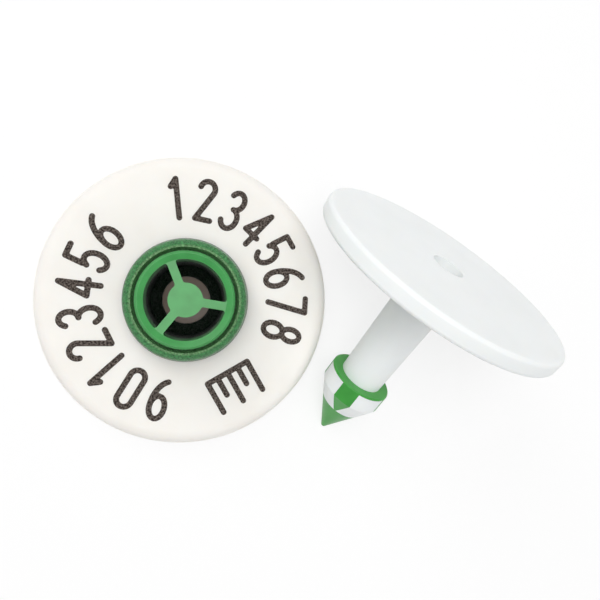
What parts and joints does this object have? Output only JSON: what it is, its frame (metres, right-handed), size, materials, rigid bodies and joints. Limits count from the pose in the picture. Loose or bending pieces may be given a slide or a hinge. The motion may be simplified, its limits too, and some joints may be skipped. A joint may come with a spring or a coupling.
{
  "type": "livestock ear tag",
  "caption": "Two-part button ear tag for livestock, its halves apart: round receiving half with a spoked collar, and a disc with a stem and pointed head.",
  "frame": {"origin": "middle of the receiving half's back face, on its hole axis", "axes": "+Z along the receiving half's hole axis, from its back face towards its collar; +X towards the piercing half"},
  "size_m": [0.0516, 0.03, 0.0233],
  "materials": {
    "white_polymer": "white polyurethane, fine moulded matt",
    "pin_white_polymer": "cool white polyurethane, smooth moulded satin",
    "collar_green": "green polymer, spark-textured",
    "cap_green": "green polymer, smooth satin",
    "tip_green": "hard green polymer, smooth satin",
    "coil_copper": "enamelled copper wire, wound",
    "board_laminate": "green glass-fibre laminate",
    "chip_epoxy": "black epoxy",
    "capacitor_ceramic": "tan ceramic",
    "laser_mark": "dark laser marking in the white polymer"
  },
  "bodies": {
    "root": {"front_shell": "white_polymer", "rear_cover": "white_polymer", "transponder_coil": "coil_copper", "circuit_board": "board_laminate", "transponder_chip": "chip_epoxy", "tuning_capacitor": "capacitor_ceramic", "locking_collar": "collar_green", "spoked_cap": "cap_green", "pin_moulding": "pin_white_polymer", "piercing_tip": "tip_green"}
  },
  "joints": []
}
